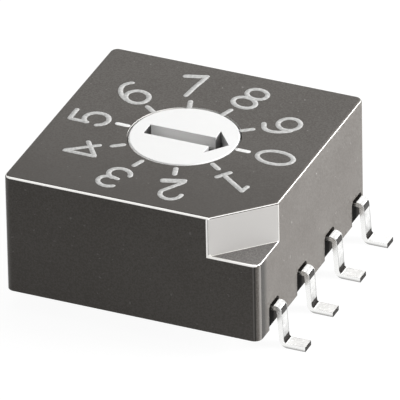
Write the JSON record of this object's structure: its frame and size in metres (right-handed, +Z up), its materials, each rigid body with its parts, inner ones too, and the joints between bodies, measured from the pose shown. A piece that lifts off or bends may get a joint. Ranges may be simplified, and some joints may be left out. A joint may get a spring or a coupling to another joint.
{
  "type": "rotary dip switch",
  "caption": "Square surface-mount rotary coding switch with a flush white driver rotor, a printed digit dial, a cut index corner and gull-wing leads.",
  "frame": {"origin": "on the rotor's axis, at the level of the undersides of the feet", "axes": "+Z up along the rotor's axis; +X towards the four code leads, where the arrow points at position 0"},
  "size_m": [0.0124, 0.0098, 0.0054],
  "materials": {
    "housing": "matte",
    "base": "matte",
    "rotor": "satin",
    "seal": "matte",
    "contact_plate": "plated",
    "spring": "satin",
    "terminal": "tin plated",
    "legend": "printed"
  },
  "bodies": {
    "body": {"housing": "housing", "base": "base", "detent_spring_front": "spring", "detent_spring_back": "spring", "terminal_1": "terminal", "terminal_2": "terminal", "terminal_4": "terminal", "terminal_8": "terminal", "terminal_common": "terminal"},
    "rotor": {"rotor": "rotor", "o_ring": "seal", "code_disc": "contact_plate"}
  },
  "joints": [
    {"name": "rotor_turn", "type": "hinge", "parent": "body", "child": "rotor", "pos_m": [0, 0, 0], "axis": [0, 0, 1], "continuous": true, "deforming": ["detent_spring_front", "detent_spring_back"]}
  ]
}
